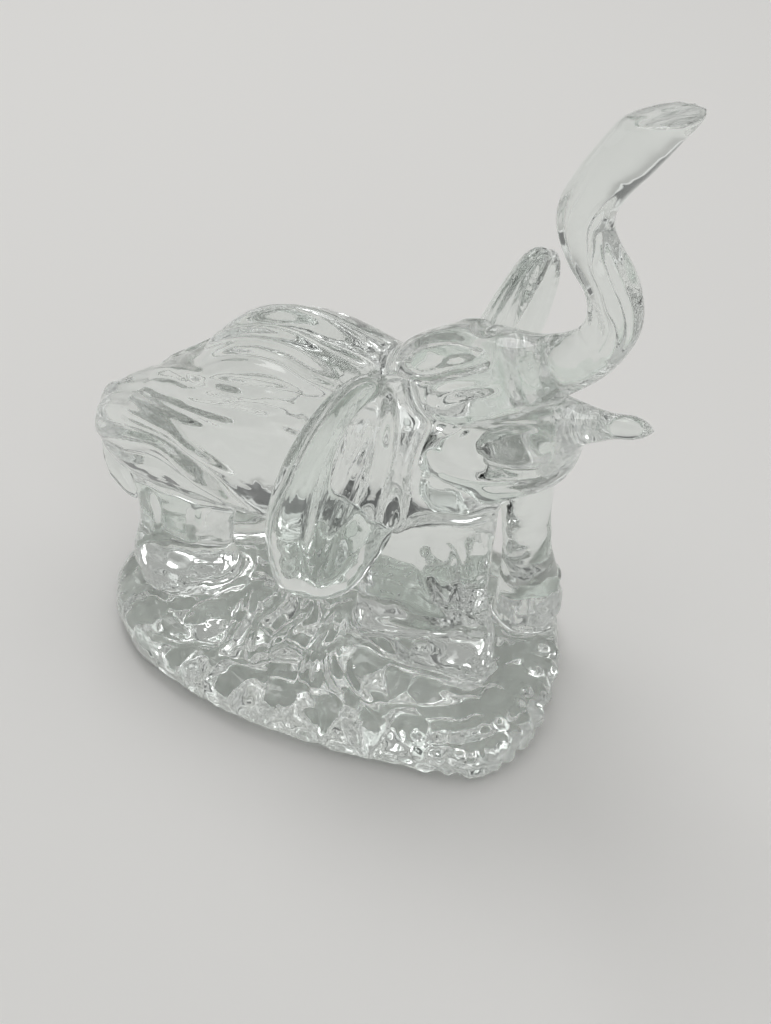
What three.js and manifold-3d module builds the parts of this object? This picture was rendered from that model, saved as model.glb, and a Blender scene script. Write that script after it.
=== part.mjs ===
// A hot-worked clear glass elephant with a raised trunk, standing on a thick pressed foot.
// Millimetres, +Z up, +X the way the elephant faces, +Y its left side.
// The origin is the middle of the foot's flat underside.
import * as THREE from "three";
import { mergeVertices } from "three/addons/utils/BufferGeometryUtils.js";
import Module from "manifold-3d";

const wasm = await Module();
wasm.setup();

// Seam between two fused gathers of glass: each later gather is cut back from the earlier ones.
const SEAM = 0.3;

// Foot: a long pad, blunt and slanted in front, with a crown that rises under the legs.
const FOOT_RIM = 8;
const FOOT_CROWN = 13;
const FOOT_EDGE_SHARE = 0.1;
const FOOT_OUTLINE = [
  [44.5, -9],
  [38, 14],
  [27, 26.5],
  [8, 29.5],
  [-16, 27],
  [-36, 18],
  [-44.5, 3],
  [-41.5, -12],
  [-28, -24],
  [-8, -29.5],
  [11, -29.5],
  [29, -26.5],
  [41, -21],
];

// Pads that swell out of the foot round the legs, and the main folds pressed between them, seen from
// above: height, or depth where it is negative, width, and the line it follows.
const FOOT_PADS = [
  { height: 1.9, width: 7.5, line: [[17, -19], [29, -18]] },
  { height: 1.7, width: 6.5, line: [[-28, -18], [-15, -19]] },
  { height: 1.7, width: 6.5, line: [[-28, 18], [-15, 19]] },
  { height: 1.3, width: 6, line: [[26, 20], [34, 12]] },
];
const FOOT_FOLDS = [
  { height: 1.1, width: 1.8, line: [[-12, -9], [-9, -14], [-8, -20], [-10, -25]] },
  { height: 1.2, width: 1.8, line: [[-6, -4], [-3, -10], [-4, -17], [-2, -23]] },
  { height: -1, width: 1.6, line: [[-1, -6], [1, -12], [0, -18], [3, -24]] },
  { height: 1.1, width: 1.8, line: [[5, -6], [7, -12], [8, -18], [11, -25]] },
  { height: -1, width: 1.6, line: [[-27, -23], [-20, -24], [-13, -23], [-7, -21]] },
  { height: 1.1, width: 1.8, line: [[-10, 9], [-8, 15], [-9, 21], [-6, 25]] },
  { height: -1, width: 1.6, line: [[-3, 6], [-1, 12], [-3, 18], [1, 24]] },
  { height: 1.1, width: 1.8, line: [[7, 6], [8, 12], [6, 18], [10, 24]] },
  { height: -1, width: 1.6, line: [[-27, 21], [-20, 22], [-13, 22], [-7, 19]] },
];

// Torso: heights of the back and the belly above the table, and widths across the flanks.
const RUMP_BACK = 47;
const LOIN_BACK = 55;
const SHOULDER_BACK = 65;
const NECK_BACK = 63;
const CHEST_BACK = 55;
const BELLY = 25.5;
const CHEST_BELLY = 38;
const RUMP_WIDTH = 27;
const LOIN_WIDTH = 32;
const SHOULDER_WIDTH = 33;
const NECK_WIDTH = 22;
const CHEST_WIDTH = 21;
const TAILHEAD_WIDTH = 17;
const TORSO_REAR = -48;
const TAILHEAD_AT = -44.5;
const RUMP_AT = -34;
const LOIN_AT = -19;
const SHOULDER_AT = -4;
const NECK_AT = 15;
const CHEST_AT = 31;
const TORSO_FRONT = 38;

// Ridges and furrows drawn along the torso with a tool. Their lines run through shares of the torso's
// length and degrees from the top of the back, negative on the right flank.
const FLANK_MARKS = [
  { height: 0.8, width: 2.2, line: [[0.38, 6], [0.46, 6], [0.54, 6], [0.62, 4], [0.7, 0]] },
  { height: -1.7, width: 1.9, line: [[0.48, -3], [0.55, -6], [0.6, -7], [0.64, -12], [0.72, -18]] },
  { height: 1.1, width: 1.6, line: [[0.44, -6], [0.5, -12], [0.56, -15], [0.61, -17], [0.7, -27]] },
  { height: -0.8, width: 1.4, line: [[0.48, -28], [0.55, -32], [0.6, -36], [0.64, -44], [0.68, -48]] },
  { height: -0.7, width: 1.6, line: [[0.12, 4], [0.17, -2], [0.24, -7], [0.33, -20]] },
  { height: 0.9, width: 1.5, line: [[0.26, -4], [0.38, -20], [0.48, -38], [0.54, -52], [0.65, -72]] },
  { height: 0.8, width: 1.5, line: [[0.1, -54], [0.25, -46], [0.4, -64], [0.46, -80], [0.57, -104]] },
  { height: -0.8, width: 1.4, line: [[0.13, -68], [0.26, -60], [0.38, -69], [0.45, -85], [0.53, -113]] },
  { height: 1.1, width: 1.5, line: [[0.14, -92], [0.26, -74], [0.37, -73], [0.46, -104], [0.55, -135]] },
  { height: 0.6, width: 3, line: [[0.36, 34], [0.44, 40], [0.5, 42]] },
  { height: -1.4, width: 1.9, line: [[0.46, 58], [0.54, 56], [0.62, 54], [0.68, 50]] },
  { height: 1, width: 1.6, line: [[0.44, 68], [0.52, 67], [0.6, 65], [0.67, 60]] },
  { height: 0.8, width: 1.5, line: [[0.1, 58], [0.25, 56], [0.4, 76], [0.5, 96], [0.57, 110]] },
  { height: -0.7, width: 1.4, line: [[0.15, 74], [0.3, 70], [0.42, 88], [0.5, 112]] },
  { height: 1, width: 1.5, line: [[0.16, 90], [0.34, 84], [0.43, 100], [0.54, 130]] },
];

// Legs: where each stands on the foot, its length along the body, and how it flares at its ends.
const FRONT_RIGHT_AT = 22;
const FRONT_LEFT_AT = 33;
const REAR_AT = -27;
const FRONT_RIGHT_OUT = 6.5;
const FRONT_LEFT_OUT = 12;
const REAR_OUT = 8;
const FRONT_RIGHT_LENGTHWAYS = 23.5;
const FRONT_LEFT_LENGTHWAYS = 7.5;
const REAR_LENGTHWAYS = 19.5;
const LEG_ACROSS = 10;
const LEG_FLARE = 1.6;
const LEG_LEAN = 2;
const LEG_INTO_FOOT = 6;
const LEG_INTO_TORSO = 9;

// Head: a long lobe in front of the shoulders, from which the trunk is drawn.
const CROWN_HEIGHT = 70.5;
const CHEEK_HEIGHT = 54.5;
const HEAD_WIDTH = 18;
const HEAD_BACK = 12;
const HEAD_CROWN_AT = 28;
const HEAD_FRONT = 42;

// Trunk: runs forward from the brow, turns up, leans back and turns forward again to a snipped tip.
// Its middle line is measured forward from the front of the head and up from the crown.
// It widens to the tip by these shares, at the last four stations before its drawn-out end.
const TRUNK_ROOT_THICK = 12.4;
const TRUNK_RUN_THICK = 9.8;
const TRUNK_RISE_THICK = 8.2;
const TRUNK_TIP_THICK = 8.4;
const TRUNK_TIP_WIDE = 11.2;
const TRUNK_WIDENING = [0.2, 0.6, 1, 1];
const TRUNK_LINE = [
  [-16, -7],
  [-8, -5.6],
  [0, -2.4],
  [6, 1.9],
  [9, 7.6],
  [8.1, 13],
  [5.1, 17.8],
  [3.6, 23],
  [6.2, 28.4],
  [10.2, 34],
  [14.2, 39.2],
  [18, 44],
  [20.5, 47],
];
const TRUNK_SNIP = [14.5, 39.7];
const TRUNK_SNIP_TILT = 10;

// Lower jaw: a thick lobe under the head that rises forward and ends in a drawn-out lip.
// The height is of its middle line where it is deepest, and the rise from there to the lip's tip.
const JAW_WIDTH = 19;
const JAW_DEPTH = 18;
const JAW_BACK = 14;
const JAW_HEIGHT = 50.3;
const JAW_RISE = 11;
const LIP_REACH = 16.5;
const LIP_THICK = 4.6;

// Ears: dished leaves with a thick rim, spread from the sides of the head and squared at their roots.
// Each root lies behind and below the crown; the angles are in degrees.
const EAR_HEIGHT = 41;
const EAR_WIDTH = 21;
const EAR_RIM = 6.5;
const EAR_DISH = 3.6;
const EAR_OUT = 10;
const EAR_SHOULDER = 0.28;
const RIGHT_EAR = { behind: 7.5, below: 28.5, sweep: 49, splay: 19, pitch: 11 };
const LEFT_EAR = { behind: 6, below: 13, sweep: -7.5, splay: -15, pitch: 20 };

// Tail: a drawn strand lying on the rump, from its top down towards the right hind leg.
// The last three sizes are how far its middle line lies inside the rear end of the torso.
const TAIL_THICK = 3.6;
const TAIL_DROP = 22;
const TAIL_TURN = 7;
const TAIL_ROOT_IN = 6;
const TAIL_LIES_IN = 2.2;
const TAIL_TIP_IN = 10;

// Facets round each gather and rings along it.
const TORSO_SIDES = 72;
const TORSO_RINGS = 44;
const BODY_SIDES = 36;
const BODY_RINGS = 30;
const LIMB_SIDES = 24;
const LIMB_RINGS = 14;
const TRUNK_RINGS = 44;
const EAR_SIDES = 36;
const EAR_RINGS = 18;
const FOOT_SIDES = 96;
const FOOT_EDGE_STEPS = 4;
const FOOT_CROWN_STEPS = 14;
const MARK_STEPS = 40;

const SIDEWAYS = new THREE.Vector3(0, 1, 0);
const point = (x, y, z) => new THREE.Vector3(x, y, z);

// A value that passes smoothly through evenly spaced stations, t from 0 to 1.
function along(values) {
  const line = new THREE.SplineCurve(
    values.map((value, i) => new THREE.Vector2(i, value)),
  );
  return (t) => line.getPoint(t).y;
}

// Moves every vertex of a unit sphere by shape(polar angle share, turn round the axis).
function moulded(sides, rings, shape) {
  const geometry = new THREE.SphereGeometry(1, sides, rings);
  const position = geometry.getAttribute("position");
  const uv = geometry.getAttribute("uv");
  for (let i = 0; i < position.count; i++) {
    const ring = Math.round((1 - uv.getY(i)) * rings) / rings;
    const turn = 2 * Math.PI * uv.getX(i);
    const moved = shape(ring, ring === 0 || ring === 1 ? 0 : turn);
    position.setXYZ(i, moved.x, moved.y, moved.z);
  }
  return welded(geometry);
}

// One closed skin: shared corners merged, and slivers at the poles dropped.
function welded(geometry) {
  const bare = geometry.clone();
  bare.deleteAttribute("normal");
  bare.deleteAttribute("uv");
  const merged = mergeVertices(bare, 1e-4);
  const corners = merged.index.array;
  const kept = [];
  for (let i = 0; i < corners.length; i += 3) {
    const [a, b, c] = corners.subarray(i, i + 3);
    if (a !== b && b !== c && c !== a) kept.push(a, b, c);
  }
  merged.setIndex(kept);
  merged.computeVertexNormals();
  return merged;
}

// The sections through stations {at, wide, high}, which are half sizes across and along the section:
// each has its middle and its reach to the left and downwards at a share of the length.
// Squares of the sizes are blended, so that the ends, where they are zero, come out round.
function sectionsOf(stations) {
  const path = new THREE.CatmullRomCurve3(stations.map((s) => s.at));
  const wide = along(stations.map((s) => s.wide ** 2));
  const high = along(stations.map((s) => s.high ** 2));
  return (share) => {
    const ahead = path.getTangent(share);
    const left = SIDEWAYS.clone().addScaledVector(ahead, -ahead.y).normalize();
    const down = new THREE.Vector3().crossVectors(left, ahead);
    left.multiplyScalar(Math.sqrt(Math.max(wide(share), 0)));
    down.multiplyScalar(Math.sqrt(Math.max(high(share), 0)));
    return { middle: path.getPoint(share), left, down };
  };
}

// A gather swept through its stations.
function gather(stations, sides, rings) {
  const section = sectionsOf(stations);
  return moulded(sides, rings, (ring, turn) => {
    const { middle, left, down } = section((1 - Math.cos(Math.PI * ring)) / 2);
    if (ring === 0 || ring === 1) return middle;
    return middle.addScaledVector(left, Math.cos(turn)).addScaledVector(down, Math.sin(turn));
  });
}

// Closely spaced points of a smooth line through a few flat ones.
function smoothLine(corners) {
  const line = new THREE.SplineCurve(corners.map(([a, b]) => new THREE.Vector2(a, b)));
  return line.getPoints(MARK_STEPS);
}

// Raises a ridge, or presses a furrow, along every mark. A mark's spots are the points of its line,
// and apart tells how far a place on the skin lies from a spot.
function tooled(geometry, marks, apart) {
  const position = geometry.getAttribute("position");
  const normal = geometry.getAttribute("normal");
  for (let i = 0; i < position.count; i++) {
    const place = new THREE.Vector3().fromBufferAttribute(position, i);
    const outward = new THREE.Vector3().fromBufferAttribute(normal, i);
    let lift = 0;
    for (const { height, width, spots } of marks) {
      const gap = Math.min(...spots.map((spot) => apart(place, spot)));
      lift += height * Math.exp(-((gap / width) ** 2));
    }
    place.addScaledVector(outward, lift);
    position.setXYZ(i, place.x, place.y, place.z);
  }
  geometry.computeVertexNormals();
  return geometry;
}

function solidOf(geometry) {
  return new wasm.Manifold(
    new wasm.Mesh({
      numProp: 3,
      vertProperties: new Float32Array(geometry.getAttribute("position").array),
      triVerts: new Uint32Array(geometry.index.array),
    }),
  );
}

function geometryOf(solid) {
  const mesh = solid.getMesh();
  return new THREE.BufferGeometry()
    .setAttribute("position", new THREE.BufferAttribute(mesh.vertProperties, 3))
    .setIndex(new THREE.BufferAttribute(mesh.triVerts, 1));
}

// The same skin moved out by a distance, which leaves that much room round a neighbour.
function swollen(geometry, distance) {
  const grown = geometry.clone();
  const position = grown.getAttribute("position");
  const normal = grown.getAttribute("normal");
  for (let i = 0; i < position.count; i++) {
    position.setXYZ(
      i,
      position.getX(i) + distance * normal.getX(i),
      position.getY(i) + distance * normal.getY(i),
      position.getZ(i) + distance * normal.getZ(i),
    );
  }
  return grown;
}

// Foot: a pad profile, from the middle of the underside to the crown, carried round the outline.
// Its pads and folds are on top only.
function footShape() {
  const edgeProfile = new THREE.Path();
  edgeProfile.moveTo(0, 0);
  edgeProfile.lineTo(1 - FOOT_EDGE_SHARE, 0);
  edgeProfile.quadraticCurveTo(1, 0, 1, FOOT_RIM / 2);
  edgeProfile.quadraticCurveTo(1, FOOT_RIM, 1 - 2 * FOOT_EDGE_SHARE, FOOT_RIM);
  const crownProfile = new THREE.Path();
  crownProfile.moveTo(1 - 2 * FOOT_EDGE_SHARE, FOOT_RIM);
  crownProfile.quadraticCurveTo(1 / 2, FOOT_CROWN, 0, FOOT_CROWN);
  const rows = [
    ...edgeProfile.getPoints(FOOT_EDGE_STEPS).slice(0, -1),
    ...crownProfile.getPoints(FOOT_CROWN_STEPS),
  ];
  const corners = FOOT_OUTLINE.map(([x, y]) => point(x, y, 0));
  const outline = new THREE.CatmullRomCurve3(corners, true);
  const pad = new THREE.LatheGeometry(rows, FOOT_SIDES);
  const position = pad.getAttribute("position");
  for (let i = 0; i < position.count; i++) {
    const row = rows[i % rows.length];
    const column = Math.floor(i / rows.length) % FOOT_SIDES;
    const edge = outline.getPoint(column / FOOT_SIDES);
    position.setXYZ(i, row.x * edge.x, row.x * edge.y, row.y);
  }
  const marks = [...FOOT_PADS, ...FOOT_FOLDS].map(({ height, width, line }) => ({
    height,
    width,
    spots: smoothLine(line),
  }));
  return tooled(welded(pad), marks, (place, spot) =>
    place.z < FOOT_RIM ? Infinity : Math.hypot(place.x - spot.x, place.y - spot.y),
  );
}

// A station of a gather that lies in the middle plane, and a round end there.
const station = (x, z, wide, high) => ({ at: point(x, 0, z), wide, high });
const end = (x, z) => station(x, z, 0, 0);

function torsoShape() {
  const ring = (x, back, belly, width) =>
    station(x, (back + belly) / 2, width / 2, (back - belly) / 2);
  const stations = [
    end(TORSO_REAR, (RUMP_BACK + BELLY) / 2),
    ring(TAILHEAD_AT, (3 * RUMP_BACK + BELLY) / 4, (RUMP_BACK + 3 * BELLY) / 4, TAILHEAD_WIDTH),
    ring(RUMP_AT, RUMP_BACK, BELLY, RUMP_WIDTH),
    ring(LOIN_AT, LOIN_BACK, BELLY, LOIN_WIDTH),
    ring(SHOULDER_AT, SHOULDER_BACK, BELLY, SHOULDER_WIDTH),
    ring(NECK_AT, NECK_BACK, (BELLY + CHEST_BELLY) / 2, NECK_WIDTH),
    ring(CHEST_AT, CHEST_BACK, CHEST_BELLY, CHEST_WIDTH),
    end(TORSO_FRONT, (CHEST_BACK + CHEST_BELLY) / 2),
  ];
  const section = sectionsOf(stations);
  const onSkin = ({ x: share, y: degrees }) => {
    const turn = THREE.MathUtils.degToRad(degrees);
    const { middle, left, down } = section(share);
    return middle.addScaledVector(left, Math.sin(turn)).addScaledVector(down, -Math.cos(turn));
  };
  const marks = FLANK_MARKS.map(({ height, width, line }) => ({
    height,
    width,
    spots: smoothLine(line).map(onSkin),
  }));
  const body = gather(stations, TORSO_SIDES, TORSO_RINGS);
  return tooled(body, marks, (place, spot) => place.distanceTo(spot));
}

function headShape() {
  const middle = (CROWN_HEIGHT + CHEEK_HEIGHT) / 2;
  const high = (CROWN_HEIGHT - CHEEK_HEIGHT) / 2;
  const wide = HEAD_WIDTH / 2;
  return gather(
    [
      end(HEAD_BACK, middle - 0.75 * high),
      station((HEAD_BACK + HEAD_CROWN_AT) / 2, middle - 0.25 * high, 0.86 * wide, 0.84 * high),
      station(HEAD_CROWN_AT, middle, wide, high),
      station((HEAD_FRONT + HEAD_CROWN_AT) / 2, middle + 0.1 * high, 0.74 * wide, 0.76 * high),
      end(HEAD_FRONT, middle + 0.2 * high),
    ],
    BODY_SIDES,
    BODY_RINGS,
  );
}

// A leg from inside the foot to inside the torso, widest where it meets them.
// Its top leans in, towards the middle of the body.
function legShape(atX, atY, lengthways, belly) {
  const topY = Math.sign(atY) * (Math.abs(atY) - LEG_LEAN);
  const sole = FOOT_CROWN - LEG_INTO_FOOT;
  const top = belly + LEG_INTO_TORSO;
  const ring = (y, z, flare) => ({
    at: point(atX, y, z),
    wide: LEG_ACROSS / 2 + flare,
    high: lengthways / 2 + flare,
  });
  return gather(
    [
      { at: point(atX, atY, sole), wide: 0, high: 0 },
      ring(atY, (sole + FOOT_CROWN) / 2, LEG_FLARE),
      ring((atY + topY) / 2, (FOOT_CROWN + belly) / 2, 0),
      ring(topY, (belly + top) / 2, LEG_FLARE / 2),
      { at: point(atX, topY, top), wide: 0, high: 0 },
    ],
    LIMB_SIDES,
    LIMB_RINGS,
  );
}

// The trunk widens towards its tip. It is drawn past the tip and snipped off along a slanted plane.
function trunkShape() {
  const last = TRUNK_LINE.length - 1;
  const thick = TRUNK_LINE.map(() => TRUNK_RISE_THICK);
  thick[0] = 0;
  thick[1] = TRUNK_ROOT_THICK;
  thick[2] = TRUNK_RUN_THICK;
  thick.fill(TRUNK_TIP_THICK, last - 3);
  thick[last] = 0;
  const wide = thick.slice();
  TRUNK_WIDENING.forEach((share, i) => {
    const widened = last - TRUNK_WIDENING.length + i;
    wide[widened] = THREE.MathUtils.lerp(TRUNK_RISE_THICK, TRUNK_TIP_WIDE, share);
  });
  const drawn = gather(
    TRUNK_LINE.map(([forward, up], i) =>
      station(HEAD_FRONT + forward, CROWN_HEIGHT + up, wide[i] / 2, thick[i] / 2),
    ),
    LIMB_SIDES,
    TRUNK_RINGS,
  );
  const side = 4 * TRUNK_TIP_THICK;
  const shears = new THREE.BoxGeometry(side, side, side);
  shears.translate(0, 0, side / 2);
  shears.rotateY(-THREE.MathUtils.degToRad(TRUNK_SNIP_TILT));
  shears.translate(HEAD_FRONT + TRUNK_SNIP[0], 0, CROWN_HEIGHT + TRUNK_SNIP[1]);
  const snipped = geometryOf(solidOf(drawn).subtract(solidOf(welded(shears))));
  snipped.computeVertexNormals();
  return snipped;
}

function jawShape() {
  const wide = JAW_WIDTH / 2;
  const high = JAW_DEPTH / 2;
  const lip = LIP_THICK / 2;
  const at = (share) => JAW_BACK + share * (HEAD_FRONT + LIP_REACH - JAW_BACK);
  const up = (share) => JAW_HEIGHT + share * JAW_RISE;
  return gather(
    [
      end(at(0), up(-0.45)),
      station(at(0.18), up(-0.22), 0.95 * wide, 0.94 * high),
      station(at(0.38), up(0.02), wide, high),
      station(at(0.56), up(0.38), 0.9 * wide, 0.93 * high),
      station(at(0.7), up(0.74), 0.53 * wide, 0.45 * high),
      station(at(0.82), up(0.88), lip, lip),
      station(at(0.93), up(0.97), 0.8 * lip, 0.8 * lip),
      end(at(1), up(1)),
    ],
    LIMB_SIDES,
    BODY_RINGS,
  );
}

// A leaf in its own plane: x from the root outwards, y up, z out of the dished face.
function leafShape() {
  return moulded(EAR_SIDES, EAR_RINGS, (ring, turn) => {
    const share = Math.sin(Math.PI * ring);
    const face = Math.cos(Math.PI * ring);
    const atRoot = Math.cos(turn) < 0 && Math.sin(turn) > 0;
    const reach = atRoot ? 1 + EAR_SHOULDER * Math.sin(2 * turn) ** 2 : 1;
    const reachX = reach * (EAR_WIDTH / 2) * Math.cos(turn);
    const reachY = reach * (EAR_HEIGHT / 2) * Math.sin(turn);
    const taper = 1 - 0.14 * Math.sin(turn);
    const dish = EAR_DISH * (1 - share ** 2) ** 2;
    const skin = (EAR_RIM / 2) * Math.sqrt(1 - share ** 4);
    return point(
      EAR_WIDTH / 2 + share * reachX * taper,
      share * reachY,
      Math.sign(face) * skin - (face > 0 ? dish : dish / 4),
    );
  });
}

// Stands the leaf at the side of the head. Sweep turns it back, splay stands its lower end out,
// and pitch tips its top forward; its hollow faces forward.
function earShape(side, { behind, below, sweep, splay, pitch }) {
  const radians = THREE.MathUtils.degToRad;
  const up = point(Math.tan(radians(pitch)), -side * Math.tan(radians(splay)), 1).normalize();
  const out = point(-Math.sin(radians(sweep)), side * Math.cos(radians(sweep)), 0);
  out.addScaledVector(up, -out.dot(up)).normalize();
  const facing = new THREE.Vector3().crossVectors(out, up).multiplyScalar(side);
  const leaf = leafShape();
  if (side < 0) leaf.index.array.reverse();
  leaf.applyMatrix4(new THREE.Matrix4().makeBasis(out, up, facing));
  leaf.translate(HEAD_CROWN_AT - behind, side * EAR_OUT, CROWN_HEIGHT - below);
  leaf.computeVertexNormals();
  return leaf;
}

function tailShape() {
  const size = TAIL_THICK / 2;
  const top = (2 * RUMP_BACK + BELLY) / 3 + TAIL_THICK;
  const ring = (inset, share, radius) => ({
    at: point(TORSO_REAR + inset, -TAIL_TURN * share, top - TAIL_DROP * share),
    wide: radius,
    high: radius,
  });
  return gather(
    [
      ring(TAIL_ROOT_IN, 0, 0),
      ring(TAIL_LIES_IN, 0.2, size),
      ring(TAIL_LIES_IN, 0.5, size),
      ring(TAIL_TIP_IN / 2, 0.78, size),
      ring(TAIL_TIP_IN, 1, 0),
    ],
    LIMB_SIDES / 2,
    LIMB_RINGS,
  );
}

const clearGlass = () =>
  new THREE.MeshStandardMaterial({
    color: 0xdfe8e3,
    roughness: 0.04,
    metalness: 0,
    transparent: true,
    opacity: 0.35,
  });

const shapes = {
  foot: footShape(),
  torso: torsoShape(),
  head: headShape(),
  front_leg_right: legShape(FRONT_RIGHT_AT, -FRONT_RIGHT_OUT, FRONT_RIGHT_LENGTHWAYS, CHEST_BELLY),
  front_leg_left: legShape(FRONT_LEFT_AT, FRONT_LEFT_OUT, FRONT_LEFT_LENGTHWAYS, CHEST_BELLY),
  rear_leg_right: legShape(REAR_AT, -REAR_OUT, REAR_LENGTHWAYS, BELLY),
  rear_leg_left: legShape(REAR_AT, REAR_OUT, REAR_LENGTHWAYS, BELLY),
  trunk: trunkShape(),
  lower_jaw: jawShape(),
  ear_right: earShape(-1, RIGHT_EAR),
  ear_left: earShape(1, LEFT_EAR),
  tail: tailShape(),
};

// Each gather is cut back, by the seam, from every gather that was there before it.
const elephant = new THREE.Group();
elephant.name = "glass_elephant";
const earlier = [];
for (const [name, shape] of Object.entries(shapes)) {
  let solid = solidOf(shape);
  for (const other of earlier) {
    solid = solid.subtract(solidOf(swollen(other, SEAM)));
  }
  const [largest] = solid.decompose().sort((a, b) => b.volume() - a.volume());
  const mesh = new THREE.Mesh(geometryOf(largest), clearGlass());
  mesh.name = name;
  elephant.add(mesh);
  earlier.push(shape);
}

export default elephant;
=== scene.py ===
import math

import bmesh
import bpy
import numpy as np
from mathutils import Matrix, Vector, noise
from mathutils.bvhtree import BVHTree


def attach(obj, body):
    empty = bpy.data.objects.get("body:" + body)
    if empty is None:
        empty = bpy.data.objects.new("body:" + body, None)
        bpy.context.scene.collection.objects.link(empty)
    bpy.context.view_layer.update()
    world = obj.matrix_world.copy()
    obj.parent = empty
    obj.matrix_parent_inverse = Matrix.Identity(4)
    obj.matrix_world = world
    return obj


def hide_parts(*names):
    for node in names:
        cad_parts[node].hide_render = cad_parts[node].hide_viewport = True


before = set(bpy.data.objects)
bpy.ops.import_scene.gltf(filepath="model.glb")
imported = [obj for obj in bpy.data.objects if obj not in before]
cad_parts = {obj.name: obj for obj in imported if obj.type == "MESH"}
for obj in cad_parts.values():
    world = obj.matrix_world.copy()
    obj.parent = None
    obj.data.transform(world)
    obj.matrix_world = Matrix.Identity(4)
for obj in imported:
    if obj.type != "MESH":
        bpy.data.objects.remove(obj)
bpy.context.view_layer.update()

# A hot-worked clear glass elephant on a pressed glass foot. The gathers are drawn out one by one,
# melted into one skin of glass, tooled with ridges and creases, and parted again at their joints.
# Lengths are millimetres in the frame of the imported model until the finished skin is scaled.
MM = 0.001
GRAIN = 0.42

# The foot: its height at the rim and at the crown under the legs, the rounding of its edge as a share of
# the way out to it, its outline seen from above, and the steps round it and rings over it.
FOOT_RIM = 8
FOOT_CROWN = 13
FOOT_EDGE = 0.1
FOOT_OUTLINE = [
    (44.5, -9), (38, 14), (27, 26.5), (8, 29.5), (-16, 27), (-36, 18), (-44.5, 3),
    (-41.5, -12), (-28, -24), (-8, -29.5), (11, -29.5), (29, -26.5), (41, -21),
]
FOOT_STEPS = 200
FOOT_RINGS = 80
# On the way over the foot, from the middle of its crown to the middle of its underside: where the crown
# ends, where the edge is widest and where the underside starts.
CROWN_END = 0.35
EDGE_MIDDLE = 0.5
UNDERSIDE_START = 0.65

# Heights of the body's back and belly, from the rump forwards. A gather is told by its stations, each
# with x, y, z, half width and half height.
RUMP = 47
LOIN = 55
SHOULDER = 65
NECK = 63
CHEST = 55
BELLY = 25.5
CHEST_BELLY = 38


def body_ring(x, back, belly, width):
    """A station of the body, from the heights of its back and belly."""
    return x, 0, (back + belly) / 2, width / 2, (back - belly) / 2


TORSO = [
    (-48, 0, (RUMP + BELLY) / 2, 0, 0),
    body_ring(-44.5, (3 * RUMP + BELLY) / 4, (RUMP + 3 * BELLY) / 4, 17),
    body_ring(-34, RUMP, BELLY, 27),
    body_ring(-19, LOIN, BELLY, 32),
    body_ring(-4, SHOULDER, BELLY, 33),
    body_ring(15, NECK, (BELLY + CHEST_BELLY) / 2, 22),
    body_ring(31, CHEST, CHEST_BELLY, 21),
    (38, 0, (CHEST + CHEST_BELLY) / 2, 0, 0),
]

CROWN = 70.5
CHEEK = 54.5
FACE = (CROWN + CHEEK) / 2
BROW = (CROWN - CHEEK) / 2
HEAD = [
    (12, 0, FACE - 0.75 * BROW, 0, 0),
    (20, 0, FACE - 0.25 * BROW, 7.74, 0.84 * BROW),
    (28, 0, FACE, 9, BROW),
    (35, 0, FACE + 0.1 * BROW, 6.66, 0.76 * BROW),
    (42, 0, FACE + 0.2 * BROW, 0, 0),
]

TRUNK = [
    (26, 0, 63.5, 0, 0),
    (34, 0, 64.9, 6.2, 6.2),
    (42, 0, 68.1, 4.9, 4.9),
    (48, 0, 72.4, 4.1, 4.1),
    (51, 0, 78.1, 4.1, 4.1),
    (50.1, 0, 83.5, 4.1, 4.1),
    (47.1, 0, 88.3, 4.1, 4.1),
    (45.6, 0, 93.5, 4.1, 4.1),
    (48.2, 0, 98.9, 4.4, 4.1),
    (52.2, 0, 104.5, 5, 4.2),
    (56.2, 0, 109.7, 5.6, 4.2),
    (60, 0, 114.5, 5.6, 4.2),
    (62.5, 0, 117.5, 0, 0),
]
# The shears cut the trunk through this place, on a plane that rises forwards by these degrees.
TRUNK_SNIP = (56.5, 0, 110.2)
TRUNK_SNIP_TILT = 10

# The jaw runs forwards from its root. Its stations rise above or fall below a level by shares of a lift.
JAW_ROOT = 14
JAW_LENGTH = 44.5
JAW_LEVEL = 50.3
JAW_LIFT = 11


def jaw_ring(share, rise, wide, deep):
    """A station of the jaw, at shares of its length and of its lift."""
    return JAW_ROOT + JAW_LENGTH * share, 0, JAW_LEVEL + JAW_LIFT * rise, wide, deep


LOWER_JAW = [
    jaw_ring(0, -0.45, 0, 0),
    jaw_ring(0.18, -0.22, 9.03, 8.46),
    jaw_ring(0.38, 0.02, 9.5, 9),
    jaw_ring(0.56, 0.38, 8.55, 8.37),
    jaw_ring(0.7, 0.74, 5.04, 4.05),
    jaw_ring(0.82, 0.88, 2.3, 2.3),
    jaw_ring(0.93, 0.97, 1.84, 1.84),
    jaw_ring(1, 1, 0, 0),
]

# A leg sinks into the foot, reaches up into the body, leans in at the top and swells at both ends.
LEG_SUNK = 6
LEG_REACH = 9
LEG_LEAN = 2
LEG_HALF_WIDTH = 5
LEG_SWELL_BELOW = 1.6
LEG_SWELL_ABOVE = 0.8


def leg(x, y, length, belly):
    """Stations of a leg, from inside the foot up into the body over it."""
    sole = FOOT_CROWN - LEG_SUNK
    top = belly + LEG_REACH
    inner_y = math.copysign(abs(y) - LEG_LEAN, y)
    across = LEG_HALF_WIDTH
    along = length / 2
    return [
        (x, y, sole, 0, 0),
        (x, y, (sole + FOOT_CROWN) / 2, across + LEG_SWELL_BELOW, along + LEG_SWELL_BELOW),
        (x, (y + inner_y) / 2, (FOOT_CROWN + belly) / 2, across, along),
        (x, inner_y, (belly + top) / 2, across + LEG_SWELL_ABOVE, along + LEG_SWELL_ABOVE),
        (x, inner_y, top, 0, 0),
    ]


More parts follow.
